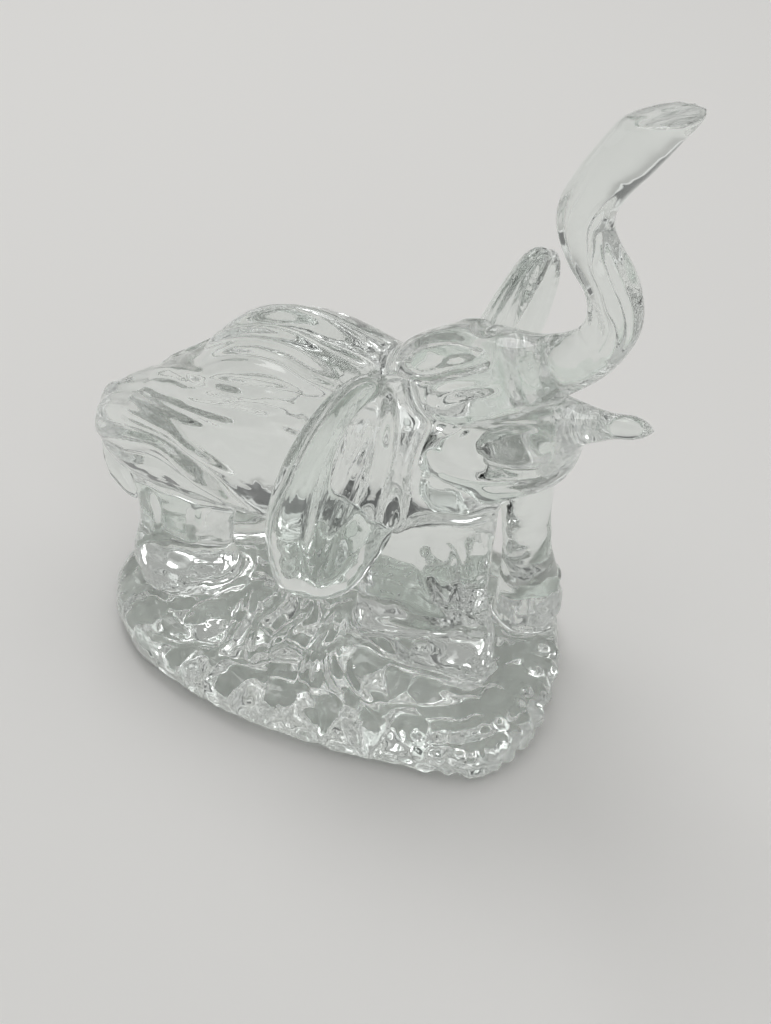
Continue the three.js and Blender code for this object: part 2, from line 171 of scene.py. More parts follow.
# The tail starts its own thickness above a third of the way down the rump.
TAIL_RADIUS = 1.8
TAIL_TOP = (2 * RUMP + BELLY) / 3 + 2 * TAIL_RADIUS
TAIL = [
    (-42, 0, TAIL_TOP, 0, 0),
    (-45.8, -1.4, TAIL_TOP - 4.4, TAIL_RADIUS, TAIL_RADIUS),
    (-45.8, -3.5, TAIL_TOP - 11, TAIL_RADIUS, TAIL_RADIUS),
    (-43, -5.5, TAIL_TOP - 17.2, TAIL_RADIUS, TAIL_RADIUS),
    (-38, -7, TAIL_TOP - 22, 0, 0),
]

# The drawn gathers: their stations, and the sides and rings of their meshes.
SWEPT = {
    "torso": (TORSO, 144, 120),
    "head": (HEAD, 96, 64),
    "front_leg_right": (leg(22, -6.5, 23.5, CHEST_BELLY), 96, 64),
    "front_leg_left": (leg(33, 12, 7.5, CHEST_BELLY), 72, 64),
    "rear_leg_right": (leg(-27, -8, 19.5, BELLY), 96, 64),
    "rear_leg_left": (leg(-27, 8, 19.5, BELLY), 96, 64),
    "trunk": (TRUNK, 64, 160),
    "lower_jaw": (LOWER_JAW, 72, 72),
    "tail": (TAIL, 32, 64),
}

# An ear is a leaf with a thick rim, dished in front and less behind. As shares of its width, it is fuller
# at the shoulder over its root and narrower towards its top.
EAR_HEIGHT = 41
EAR_WIDTH = 21
EAR_RIM = 6.5
EAR_DISH = 3.6
EAR_BACK_DISH = EAR_DISH / 4
EAR_SHOULDER = 0.28
EAR_TAPER = 0.14
EAR_SIDES = 120
EAR_RINGS = 72
# The bowl pressed in its front: middle and half width from the root outwards, middle and half height,
# and the shares of these half sizes at which its slope starts and reaches the bottom.
EAR_BOWL_ACROSS = 10
EAR_BOWL_HALF_WIDTH = 5
EAR_BOWL_TALL = 2
EAR_BOWL_HALF_HEIGHT = 16
EAR_BOWL_SLOPE = (1.2, 0.65)
# Folds down the bowl and pleats on the back: height, radians per millimetre across, and their sway.
EAR_FOLD = 0.5
EAR_FOLD_RATE = 1.5
EAR_FOLD_SWAY = 0.6
EAR_FOLD_SWAY_LENGTH = 6
EAR_PLEAT = 0.3
EAR_PLEAT_RATE = 0.85
EAR_PLEAT_LEAN = 0.14
# The middle of the head, and how far out from it the ears have their roots. Each ear has its side, how
# far its root lies behind that middle and below the crown, and its sweep, splay and pitch in degrees.
HEAD_MIDDLE = 28
EAR_ROOT_OUT = 10
EARS = {
    "ear_right": (-1, 7.5, 28.5, 49, 19, 11),
    "ear_left": (1, 6, 13, -7.5, -15, 20),
}
NODES = ["foot", *SWEPT, *EARS]

# Faces of a piece are its skin or the cap of a joint.
SKIN_FACE = 0
JOINT_FACE = 1

# Ridges pulled along the torso by the tool: height, width, and points of share along and degrees
# from the top of the back, negative on the right flank.
FLANK_RIDGES = [
    (0.8, 2.0, [(0.38, 6), (0.46, 6), (0.54, 6), (0.62, 4), (0.70, 0)]),
    (-1.8, 1.8, [(0.48, -3), (0.55, -6), (0.60, -7), (0.64, -12), (0.72, -18)]),
    (1.2, 1.4, [(0.44, -6), (0.50, -12), (0.56, -15), (0.61, -17), (0.70, -27)]),
    (-0.9, 1.1, [(0.48, -28), (0.55, -32), (0.60, -36), (0.64, -44), (0.68, -48)]),
    (-0.8, 1.4, [(0.12, 4), (0.17, -2), (0.24, -7), (0.33, -20)]),
    (0.9, 1.2, [(0.26, -4), (0.38, -20), (0.48, -38), (0.54, -52), (0.65, -72)]),
    (0.9, 1.2, [(0.10, -54), (0.25, -46), (0.40, -64), (0.46, -80), (0.57, -104)]),
    (-0.9, 1.1, [(0.13, -68), (0.26, -60), (0.38, -69), (0.45, -85), (0.53, -113)]),
    (1.2, 1.3, [(0.14, -92), (0.26, -74), (0.37, -73), (0.46, -104), (0.55, -135)]),
    (-0.6, 1.0, [(0.14, -104), (0.25, -88), (0.35, -87), (0.41, -101), (0.48, -134)]),
]
# A bundle of pleats runs down each flank between these two lines. Every other pleat is a crease, a
# little shallower than the ridges are high. They swing about their even places, by a share of their
# spacing, and start and stop about these steps of the lines.
PLEATS = 11
PLEAT_HEIGHT = 1.05
PLEAT_HEIGHT_SHARE = 0.8
PLEAT_HEIGHT_SWING = 0.35
PLEAT_CREASE = -0.9
PLEAT_WIDTH = 0.8
PLEAT_SWING = 0.25
PLEAT_START = 3
PLEAT_STOP = 29
PLEAT_END_SWING = 3
PLEATS_ABOVE = [(0.30, -10), (0.40, -22), (0.48, -38), (0.55, -47), (0.62, -50), (0.68, -48)]
PLEATS_BELOW = [(0.10, -30), (0.22, -22), (0.34, -38), (0.45, -58), (0.54, -71), (0.63, -76)]
# The left flank is tooled the same way, a little differently.
FAR_RIDGES = [
    (0.6, 3.0, [(0.36, 34), (0.44, 40), (0.50, 42)]),
    (-1.5, 1.8, [(0.46, 58), (0.54, 56), (0.62, 54), (0.68, 50)]),
    (1.1, 1.4, [(0.44, 68), (0.52, 67), (0.60, 65), (0.67, 60)]),
    (0.9, 1.2, [(0.10, 58), (0.25, 56), (0.40, 76), (0.50, 96), (0.57, 110)]),
    (-0.8, 1.1, [(0.15, 74), (0.30, 70), (0.42, 88), (0.50, 112)]),
    (1.1, 1.3, [(0.16, 90), (0.34, 84), (0.43, 100), (0.54, 130)]),
]
# Brow lobes, cheek folds, and the flutes of the twisted trunk, told in the same way.
HEAD_MARKS = [
    (1.5, 1.7, [(0.31, -41), (0.40, -36), (0.50, -33), (0.60, -33), (0.68, -32)]),
    (-1.6, 0.85, [
        (0.24, -43), (0.25, -29), (0.31, -18), (0.38, -14),
        (0.46, -14), (0.54, -18), (0.63, -24), (0.74, -31),
    ]),
    (-1.6, 0.85, [
        (0.24, -43), (0.27, -54), (0.34, -60), (0.42, -58), (0.52, -50), (0.63, -42), (0.74, -31),
    ]),
    (-0.9, 0.8, [
        (0.74, 14), (0.67, 2), (0.60, -1), (0.55, 11), (0.54, 26), (0.60, 34), (0.67, 36), (0.73, 32),
    ]),
    (0.5, 1.1, [(0.58, 17), (0.64, 18), (0.70, 20)]),
    (0.8, 1.2, [(0.42, -70), (0.54, -64), (0.65, -57), (0.76, -46)]),
    (-0.9, 0.9, [(0.46, -82), (0.56, -76), (0.66, -70), (0.79, -62)]),
    (0.8, 1.6, [(0.36, 42), (0.46, 38), (0.56, 38)]),
    (-0.5, 0.8, [(0.25, 46), (0.27, 58), (0.34, 66), (0.44, 64), (0.54, 56), (0.64, 48)]),
]
TRUNK_MARKS = [
    (-1.3, 1.1, [
        (0.24, -98), (0.30, -100), (0.335, -94), (0.39, -74),
        (0.46, -78), (0.53, -106), (0.62, -124), (0.72, -122),
    ]),
    (-0.9, 0.9, [
        (0.30, -72), (0.36, -50), (0.41, -38), (0.47, -40),
        (0.52, -50), (0.58, -60), (0.66, -60), (0.74, -54),
    ]),
    (-0.7, 0.9, [(0.29, -142), (0.375, -130), (0.427, -122), (0.478, -132), (0.56, -152)]),
    (-1.1, 1.1, [(0.24, 96), (0.30, 102), (0.36, 90), (0.43, 78), (0.53, 98), (0.62, 118), (0.70, 116)]),
    (-0.7, 0.9, [(0.30, 142), (0.42, 126), (0.50, 130), (0.58, 148)]),
]
JAW_MARKS = [
    (-0.5, 0.9, [(0.34, -72), (0.352, -58), (0.40, -49), (0.49, -48), (0.545, -59), (0.565, -88)]),
    (-0.5, 0.9, [(0.34, -64), (0.352, -76), (0.37, -88), (0.44, -104), (0.51, -118), (0.562, -98)]),
    (1.1, 1.0, [(0.22, -44), (0.30, -31), (0.385, -22), (0.465, -16), (0.53, -19), (0.58, -44)]),
    (-1.0, 0.8, [(0.25, -52), (0.30, -46), (0.36, -38), (0.42, -31), (0.49, -26), (0.53, -32)]),
    (0.9, 1.0, [(0.20, -66), (0.245, -84), (0.31, -94), (0.39, -102), (0.46, -116)]),
    (-0.5, 0.9, [(0.34, 66), (0.40, 52), (0.49, 50), (0.55, 66), (0.56, 92)]),
    (0.6, 1.0, [(0.24, 42), (0.38, 24), (0.47, 20), (0.55, 32)]),
]

# Glass that filled the corner where the trunk was joined on: height, width, the share along the trunk,
# and how far the joint swings back at the top.
FILLET_HEIGHT = 0.6
FILLET_WIDTH = 2.8
FILLET_SHARE = 0.0975
FILLET_SWING = 0.0255

# Toes low on the legs: the rolled lid's height over each slit, the slit's depth and width, how far it
# lies under the lid's middle, and the line of the lid.
TOES = [
    (1.0, 1.4, 2.0, 3.2, [
        (10.2, -10.5, 15.6), (14.3, -12.6, 17.4), (19.3, -13, 19.4),
        (24.1, -13, 20.6), (28.3, -12.6, 20.0), (32, -11, 18.2),
    ]),
    (0.4, 0.3, 1.3, 2.5, [
        (-34, -12.6, 15.2), (-29, -14.2, 16.4), (-24, -14.4, 16.6), (-19.5, -13.6, 15.8), (-16.5, -11, 15),
    ]),
    (0.4, 0.3, 1.3, 2.5, [
        (-34, 12.6, 15.2), (-29, 14.2, 16.4), (-24, 14.4, 16.6), (-19.5, 13.6, 15.8), (-16.5, 11, 15),
    ]),
    (0.5, 0.5, 1.1, 2.2, [(29.5, 15.5, 16.2), (33, 18.2, 17), (36.8, 15.5, 16.6), (37.6, 12, 15.6)]),
]
TOE_LID_WIDTH = 1.0
# The share of that drop at the ends of a slit, and the steps by which the slit is shorter there.
TOE_END_DROP = 0.55
TOE_SHORTER = 3
# Pads that swell out of the foot beside the toes.
PADS = [
    (2.3, 7.0, [(17, -18, 10.8), (29, -17.4, 10.8)]),
    (1.7, 6.5, [(-28, -18, 10.2), (-15, -19, 10.2)]),
    (1.7, 6.5, [(-28, 18, 10.2), (-15, 19, 10.2)]),
    (1.3, 6.0, [(26, 20, 9.5), (34, 12, 9.5)]),
]
# Upright folds on the legs, where the hot glass was pinched.
LEG_FOLDS = [
    (0.8, 1.2, [(14.5, -10.6, 36), (16, -10.8, 29), (14.5, -11, 22)]),
    (-0.7, 1.0, [(29.5, -9.6, 38), (30.6, -9.2, 30), (30.4, -10, 22)]),
    (0.7, 1.1, [(25.5, -10.6, 37), (24.5, -10.6, 30), (26.5, -11, 24)]),
    (-0.7, 1.0, [(-21, -11.8, 28), (-21.6, -12, 23), (-20, -12.8, 18)]),
    (0.7, 1.1, [(-31.5, -11.6, 29), (-30.4, -12, 24), (-32, -12.6, 18)]),
    (0.7, 1.1, [(-22, 11.8, 28), (-23.4, 12, 23), (-21, 12.8, 18)]),
    (-0.7, 1.0, [(-31, 11.6, 29), (-30.2, 12, 24), (-32, 12.6, 18)]),
    (0.6, 1.1, [(30.6, 15.4, 36), (31.4, 16.6, 28), (30.4, 17, 20)]),
]
# Folds in the foot's crown between the pads, as height, width and points seen from above.
VALLEY_FOLDS = [
    (1.1, 1.0, [(-8, -4), (-4, -10), (-5, -17), (-3, -23)]),
    (0.9, 0.9, [(-2, -6), (2, -11), (1, -17), (3, -21)]),
    (-1.0, 0.9, [(-5, -5), (-1, -11), (-2, -18), (1, -24)]),
    (0.9, 0.9, [(5, -6), (7, -12), (8, -18), (11, -25)]),
    (-0.9, 0.9, [(3, -8), (5, -14), (5, -20), (8, -26)]),
    (1.0, 1.0, [(-12, -9), (-9, -14), (-8, -20), (-10, -25)]),
    (1.1, 1.0, [(9, -15), (11.5, -19.6), (16.4, -23.3), (21, -26.5)]),
    (-0.9, 0.9, [(13, -17), (14.7, -19.9), (20, -22.8), (24.4, -25)]),
    (0.9, 0.8, [(-3.4, -23), (-1, -20.5), (2.7, -19.1), (6.3, -18.4)]),
    (-0.9, 1.0, [(-27, -22.5), (-20, -24), (-13, -23), (-7, -20)]),
    (0.8, 0.9, [(-4, 6), (-2, 12), (-4, 18), (0, 24)]),
    (-0.8, 0.9, [(0, 7), (2, 13), (0, 19), (4, 25)]),
    (0.8, 0.9, [(8, 6), (9, 12), (7, 18), (11, 24)]),
    (0.9, 1.0, [(-10, 9), (-8, 15), (-9, 21), (-6, 25)]),
    (-0.9, 1.0, [(-27, 21.5), (-20, 22.5), (-13, 22), (-7, 19)]),
]
# The folds are laid down on the foot's crown from this height.
FOLDS_FROM = 30
# Knobs in rows round the front corner of the foot: each row's height and the share of the way out to the
# outline at which it lies, the knobs in a row, their first step and spacing round the outline, and the
# height and width of the largest. A knob is a mark on a line a hair long.
KNOB_ROWS = [(1.9, 0.985), (4.7, 0.985), (7.4, 0.93)]
KNOBS_IN_ROW = 12
KNOBS_START = 171
KNOBS_SPACING = 3.5
KNOB_HEIGHT = 1.5
KNOB_WIDTH = 1.35
KNOB_HAIR = Vector((0, 0, 0.01))

# Steps of a smooth line on a gather, on a toe, on a leg and on the foot's crown. While a line on a gather
# is smoothed, its degrees are divided by the turn scale so that they weigh about as much as its shares.
GATHER_STEPS = 32
TOE_STEPS = 24
LEG_STEPS = 16
CROWN_STEPS = 20
TURN_SCALE = 100

# A mark reaches out this many of its widths, and fades over this share of its line at either end.
MARK_REACH = 3
FADE_SHARE = 0.25
FADE_POWER = 0.8

# Softening by the flame: its strength, and rounds for the whole skin, the joints and the soles. A joint
# is soft over this many points around it, and soles are joints that lie low. Faint spots are left alone.
SOFTENING = 0.5
SKIN_ROUNDS = 8
JOINT_ROUNDS = 100
JOINT_SPREAD = 40
SOLE_ROUNDS = 260
SOLE_SPREAD = 110
SOLE_HEIGHTS = (21, 17)
FAINT = 0.02
# Spots that the flame ran smooth once more: place, reach and rounds of softening.
SOFT_SPOTS = [
    ((50.6, 0, 95), 8.5, 220),
    ((57, 0, 110), 8.5, 40),
    ((61.5, 0, 110.8), 7.5, 240),
    ((52.3, 0, 109.4), 5.5, 90),
    ((18, -12.5, 46), 8.0, 100),
    ((18, 12.5, 46), 8.0, 100),
]
# Rounds of combing that straighten the ragged edges between gathers.
COMB_ROUNDS = 6

# Unevenness of hot worked glass: long waves, short ones and their share, and the height of both all
# over, low down and on the legs, with the heights at which each of these starts and is full.
LONG_WAVE = 7
SHORT_WAVE = 3.2
SHORT_WAVE_SHARE = 0.45
WAVE_HEIGHT = 0.05
LOW_WAVE_HEIGHT = 0.15
LOW_WAVES = (58, 28)
LEG_WAVE_HEIGHT = 0.22
LEG_WAVES_ABOVE = (12, 16)
LEG_WAVES_BELOW = (38, 30)
# Crinkles pressed in the foot: heights and lengths of the fine and the coarse ones, where they start and
# are full, and the smooth patch on the near front pad with its reach.
FINE_CRINKLE = 0.15
FINE_CRINKLE_LENGTH = 1.7
COARSE_CRINKLE = 0.28
COARSE_CRINKLE_LENGTH = 2.9
COARSE_CRINKLE_SHIFT = Vector((9, 4, 7))
CRINKLE_HEIGHTS = (15, 12)
SMOOTH_PATCH = (23, -16)
SMOOTH_PATCH_REACH = (5, 10)

# Hollows pressed into the underside: how many, how far out they lie as a share, the share of a round from
# one to the next, and the least and the added radius and depth. They press on skin under this height that
# faces down, from no press to the full one between these two slants.
DENTS = 110
DENTS_OUT = 0.87
DENT_ROUND = 0.618034
DENT_RADIUS = 2.2
DENT_RADIUS_MORE = 1.4
DENT_DEPTH = 0.5
DENT_DEPTH_MORE = 0.4
DENTS_BELOW = 1.2
FACING_DOWN = (0.8, 0.925)

# Tints of the glass, deep and pale, and how it bends light.
DEEP_GREEN = (0.905, 0.945, 0.920)
FAINT_GREEN = (0.945, 0.970, 0.955)
PRESSED_GREEN = (0.930, 0.972, 0.942)
PALE_GREEN = (0.960, 0.990, 0.968)
GLASS_IOR = 1.5
STREAK_DEPTH = 0.0006
SMEAR_ROUGHNESS = 0.05

# The table, in metres, a hair under the foot.
TABLE_RADIUS = 4
TABLE_DROP = 0.0001
TABLE_PAPER = (0.90, 0.89, 0.875)

# The room's walls as stops of height, from straight down at 0 to straight up at 1, and colour.
PAINT = (0.70, 0.70, 0.69)
CEILING = (0.84, 0.84, 0.83)
LAMP_GLOW = (0.92, 0.92, 0.91)
DUSK = (0.38, 0.38, 0.37)
SHADE = (0.09, 0.092, 0.092)
SHELF = (0.17, 0.17, 0.17)
OVERHEAD = [(0.91, CEILING), (1.0, LAMP_GLOW)]
PALE_WALL = [(0.0, PAINT), (0.62, PAINT), (0.69, DUSK), (0.84, DUSK), *OVERHEAD]
DARK_WALL = [(0.0, PAINT), (0.58, PAINT), (0.63, SHADE), (0.88, SHADE), *OVERHEAD]
LOW_SHELF = [(0.0, PAINT), (0.502, PAINT), (0.507, SHELF), (0.60, SHELF), (0.62, PAINT), *PALE_WALL[2:]]
# The shelf and the dark wall each take up one side of the room, told as a way in x and y.
SIDE_WALLS = [(LOW_SHELF, 0.45, 0.89), (DARK_WALL, -0.23, -0.97)]
WALL_BLEND = 0.15

# Lamps: place, aim and size in metres, and watts.
LAMPS = {
    "window_light": ((-0.35, 0.30, 0.75), (0, 0, 0.04), (0.40, 0.40), 1.5),
    "side_light": ((0.55, -0.45, 0.55), (0, 0, 0.05), (0.30, 0.45), 0.7),
}

# The viewpoint: its place in metres, its own three directions, and its lens and sensor in millimetres.
VIEW_PLACE = (0.1278, -0.1909, 0.1908)
VIEW_RIGHT = (0.8631, 0.5043, -0.0270)
VIEW_UP = (-0.2748, 0.5138, 0.8128)
VIEW_BACK = (0.4237, -0.6941, 0.5820)
VIEW_LENS = 56.32
VIEW_SENSOR = 36
VIEW_NEAREST = 0.01

# How often light may bend, mirror and pass through joints on its way through the glass.
BENDS = 24
MIRRORINGS = 12
JOINTS_PASSED = 48


# Curves and gathers

def ramp(values, start, full):
    """0 at start and before it, 1 at full and past it, and even in between."""
    return np.clip((values - start) / (full - start), 0, 1)


def along_line(points, t):
    """The place at share t of an even curve through points."""
    points = [2 * points[0] - points[1], *points, 2 * points[-1] - points[-2]]
    spans = len(points) - 3
    i = min(int(t * spans), spans - 1)
    w = t * spans - i
    a, b, c, d = points[i:i + 4]
    back, step, ahead = (max((q - p).length, 1e-6) ** 0.5 for p, q in ((a, b), (b, c), (c, d)))
    leave = ((b - a) / back - (c - a) / (back + step) + (c - b) / step) * step
    arrive = ((c - b) / step - (d - b) / (step + ahead) + (d - c) / ahead) * step
    return blended(b, leave, c, arrive, w)


def along_values(values, t):
    """The value at share t of a smooth run through evenly spaced values."""
    last = len(values) - 1
    i = min(int(t * last), last - 1)
    w = t * last - i
    before, here = values[max(i - 1, 0)], values[i]
    there, after = values[i + 1], values[min(i + 2, last)]
    return blended(here, (there - before) / 2, there, (after - here) / 2, w)


def blended(here, leave, there, arrive, w):
    """A smooth step from here to there at share w, with its slopes at both ends."""
    return (
        here * (2 * w**3 - 3 * w**2 + 1)
        + leave * (w**3 - 2 * w**2 + w)
        + there * (3 * w**2 - 2 * w**3)
        + arrive * (w**3 - w**2)
    )


def section(stations, t):
    """Centre, upward and leftward half sizes of a gather's section at share t."""
    nudge = 1e-4
    places = [Vector(station[:3]) for station in stations]
    centre = along_line(places, t)
    ahead = along_line(places, min(t + nudge, 1)) - along_line(places, max(t - nudge, 0))
    ahead.normalize()
    left = Vector((0, 1, 0)) - ahead * ahead.y
    left.normalize()
    wide = max(along_values([station[3] ** 2 for station in stations], t), 0) ** 0.5
    high = max(along_values([station[4] ** 2 for station in stations], t), 0) ** 0.5
    return centre, ahead.cross(left) * high, left * wide


def on_gather(stations, share, degrees):
    """A point on a gather's skin, at degrees from its top towards its left."""
    centre, top, left = section(stations, share)
    angle = math.radians(degrees)
    return centre + top * math.cos(angle) + left * math.sin(angle)


def ball(sides, rings):
    """A fine ball in a new bmesh, with the share from its top and the turn of each vertex."""
    bm = bmesh.new()
    bmesh.ops.create_uvsphere(bm, u_segments=sides, v_segments=rings, radius=1)
    places = []
    for vert in bm.verts:
        share = math.acos(max(-1.0, min(1.0, vert.co.z))) / math.pi
        turn = math.atan2(vert.co.y, vert.co.x)
        places.append((vert, share, turn))
    return bm, places


def swept(stations, sides, rings):
    """A gather drawn through its stations, with round ends."""
    bm, places = ball(sides, rings)
    cuts = {}
    for vert, share, turn in places:
        row = round(share * rings)
        if row not in cuts:
            cuts[row] = section(stations, (1 - math.cos(math.pi * row / rings)) / 2)
        centre, top, left = cuts[row]
        if row in (0, rings):
            vert.co = centre
        else:
            vert.co = centre + top * math.cos(turn) + left * math.sin(turn)
    return bm


def snipped(bm):
    """The trunk cut off along the slanted plane of the shears."""
    tilt = math.radians(TRUNK_SNIP_TILT)
    bmesh.ops.bisect_plane(
        bm,
        geom=[*bm.verts, *bm.edges, *bm.faces],
        plane_co=Vector(TRUNK_SNIP),
        plane_no=Vector((-math.sin(tilt), 0, math.cos(tilt))),
        clear_outer=True,
    )
    bmesh.ops.holes_fill(bm, edges=open_edges(bm), sides=0)
    return bm


def open_edges(bm):
    """The edges round the holes of a mesh."""
    return [edge for edge in bm.edges if edge.is_boundary]


def foot_outline():
    """Even steps round the foot's edge."""
    corners = [Vector((x, y, 0)) for x, y in FOOT_OUTLINE]
    count = len(corners)
    lap = 2
    ring = [corners[i % count] for i in range(-lap, count + lap + 1)]
    spans = len(ring) - 1
    return [along_line(ring, (lap + count * k / FOOT_STEPS) / spans) for k in range(FOOT_STEPS)]


def bow(a, b, c, w):
    """The place at share w of a bow from a to c, drawn towards b."""
    return [(1 - w) ** 2 * p + 2 * w * (1 - w) * q + w**2 * r for p, q, r in zip(a, b, c)]


def pad_profile(share):
    """Outward share and height of the foot, from its crown at 0 round its rim to the middle below at 1."""
    inner = 1 - 2 * FOOT_EDGE
    under = 1 - FOOT_EDGE
    half = FOOT_RIM / 2
    edge = EDGE_MIDDLE - CROWN_END
    if share < CROWN_END:
        return bow((0, FOOT_CROWN), (0.5, FOOT_CROWN), (inner, FOOT_RIM), share / CROWN_END)
    if share < EDGE_MIDDLE:
        return bow((inner, FOOT_RIM), (1, FOOT_RIM), (1, half), (share - CROWN_END) / edge)
    if share < UNDERSIDE_START:
        return bow((1, half), (1, 0), (under, 0), (share - EDGE_MIDDLE) / edge)
    return under * (1 - share) / (1 - UNDERSIDE_START), 0


def pressed_foot(outline):
    """The foot: a pad profile carried round the outline."""
    bm, places = ball(FOOT_STEPS, FOOT_RINGS)
    for vert, share, turn in places:
        out, height = pad_profile(share)
        edge = outline[round(turn / math.tau * FOOT_STEPS) % FOOT_STEPS]
        vert.co = (out * edge.x, out * edge.y, height)
    return bm


def ear_front(across, tall, skin):
    """Depth of an ear's front: the rim's skin, with a folded bowl pressed in it."""
    from_middle = math.hypot(
        (across - EAR_BOWL_ACROSS) / EAR_BOWL_HALF_WIDTH,
        (tall - EAR_BOWL_TALL) / EAR_BOWL_HALF_HEIGHT,
    )
    slope = ramp(from_middle, *EAR_BOWL_SLOPE)
    bowl = slope * slope * (3 - 2 * slope)
    sway = EAR_FOLD_SWAY * math.sin(tall / EAR_FOLD_SWAY_LENGTH)
    fold = EAR_FOLD * math.cos((across - EAR_BOWL_ACROSS) * EAR_FOLD_RATE + sway)
    return skin - EAR_DISH * bowl + fold * bowl


def ear_back(across, tall, skin, reach):
    """Depth of an ear's back: gently hollow and pleated inside the rim."""
    pleat = EAR_PLEAT * math.sin(across * EAR_PLEAT_RATE + tall * EAR_PLEAT_LEAN)
    return -skin - EAR_BACK_DISH * (1 - reach**2) ** 2 - pleat * (1 - reach**6) * reach


def leaf(side, behind, below, sweep, splay, pitch):
    """A dished ear leaf with a thick rolled rim, stood at the side of the head."""
    sweep, splay, pitch = (math.radians(angle) for angle in (sweep, splay, pitch))
    up = Vector((math.tan(pitch), -side * math.tan(splay), 1)).normalized()
    out = Vector((-math.sin(sweep), side * math.cos(sweep), 0))
    out = (out - up * out.dot(up)).normalized()
    facing = out.cross(up) * side
    root = Vector((HEAD_MIDDLE - behind, side * EAR_ROOT_OUT, CROWN - below))
    bm, places = ball(EAR_SIDES, EAR_RINGS)
    for vert, share, turn in places:
        reach = math.sin(math.pi * share)
        skin = EAR_RIM / 2 * max(1 - reach**4, 0) ** 0.5
        at_root = math.cos(turn) < 0 < math.sin(turn)
        spread = reach * (1 + EAR_SHOULDER * math.sin(2 * turn) ** 2 if at_root else 1)
        across = EAR_WIDTH / 2 * (1 + spread * math.cos(turn) * (1 - EAR_TAPER * math.sin(turn)))
        tall = EAR_HEIGHT / 2 * spread * math.sin(turn)
        if math.cos(math.pi * share) > 0:
            deep = ear_front(across, tall, skin)
        else:
            deep = ear_back(across, tall, skin, reach)
        vert.co = root + out * across + up * tall + facing * deep
    return bm


# Melting and tooling

def gathered(gathers):
    """All the gathers side by side in one mesh."""
    whole = bmesh.new()
    for bm in gathers.values():
        bmesh.ops.recalc_face_normals(bm, faces=bm.faces[:])
        single = bpy.data.meshes.new("gather")
        bm.to_mesh(single)
        whole.from_mesh(single)
        bpy.data.meshes.remove(single)
    mesh = bpy.data.meshes.new("melt")
    whole.to_mesh(mesh)
    whole.free()
    return mesh


def soften(holder, name, rounds, weights=None, least=0):
    """Lets the skin run smooth, all over or as far as the weights above the least say."""
    flame = holder.modifiers.new(name, "SMOOTH")
    flame.factor = SOFTENING
    flame.iterations = rounds
    if weights is not None:
        group = holder.vertex_groups.new(name=name)
        for index in np.flatnonzero(weights > least):
            group.add([int(index)], float(weights[index]), "REPLACE")
        flame.vertex_group = name


def melted(gathers, owners):
    """One fused skin of all the gathers, with its joints softened, as a mesh in millimetres."""
    holder = bpy.data.objects.new("melt", gathered(gathers))
    bpy.context.collection.objects.link(holder)
    fuse = holder.modifiers.new("fuse", "REMESH")
    fuse.mode = "VOXEL"
    fuse.voxel_size = GRAIN
    soften(holder, "relax", SKIN_ROUNDS)
    skin = evaluated(holder)
    holder.modifiers.clear()
    holder.data = skin
    joints = Joints(skin, owners)
    places = vertex_places(skin)
    soles = joints.nearness(SOLE_SPREAD) * ramp(places[:, 2], *SOLE_HEIGHTS)
    soften(holder, "joints", JOINT_ROUNDS, joints.nearness(JOINT_SPREAD), FAINT)
    soften(holder, "soles", SOLE_ROUNDS, soles, FAINT)
    for index, (place, reach, rounds) in enumerate(SOFT_SPOTS):
        gap = np.linalg.norm(places - place, axis=1)
        soften(holder, "spot_" + str(index), rounds, ramp(gap, reach, 0))
    skin = evaluated(holder)
    bpy.data.objects.remove(holder)
    return skin


def evaluated(holder):
    """The mesh that an object's modifiers give."""
    graph = bpy.context.evaluated_depsgraph_get()
    return bpy.data.meshes.new_from_object(holder.evaluated_get(graph))


def vertex_places(mesh):
    """The place of every vertex, one row each."""
    places = np.empty(len(mesh.vertices) * 3)
    mesh.vertices.foreach_get("co", places)
    return places.reshape(-1, 3)


def vertex_normals(mesh):
    """The outward way at every vertex, one row each."""
    normals = np.empty(len(mesh.vertices) * 3, dtype=np.float32)
    mesh.vertex_normals.foreach_get("vector", normals)
    return normals.reshape(-1, 3).astype(float)


class Owners:
    """Tells which gather the skin at a place belongs to."""

    def __init__(self, gathers):
        places, faces, self.ends = [], [], []
        for bm in gathers.values():
            start = len(places)
            bm.verts.index_update()
            places.extend(vert.co.copy() for vert in bm.verts)
            faces.extend([start + vert.index for vert in face.verts] for face in bm.faces)
            self.ends.append(len(faces))
        self.tree = BVHTree.FromPolygons(places, faces)

    def of(self, places):
        """The number of the gather nearest to each place."""
        nearest = [self.tree.find_nearest(place)[2] for place in places]
        return np.searchsorted(self.ends, nearest, side="right")


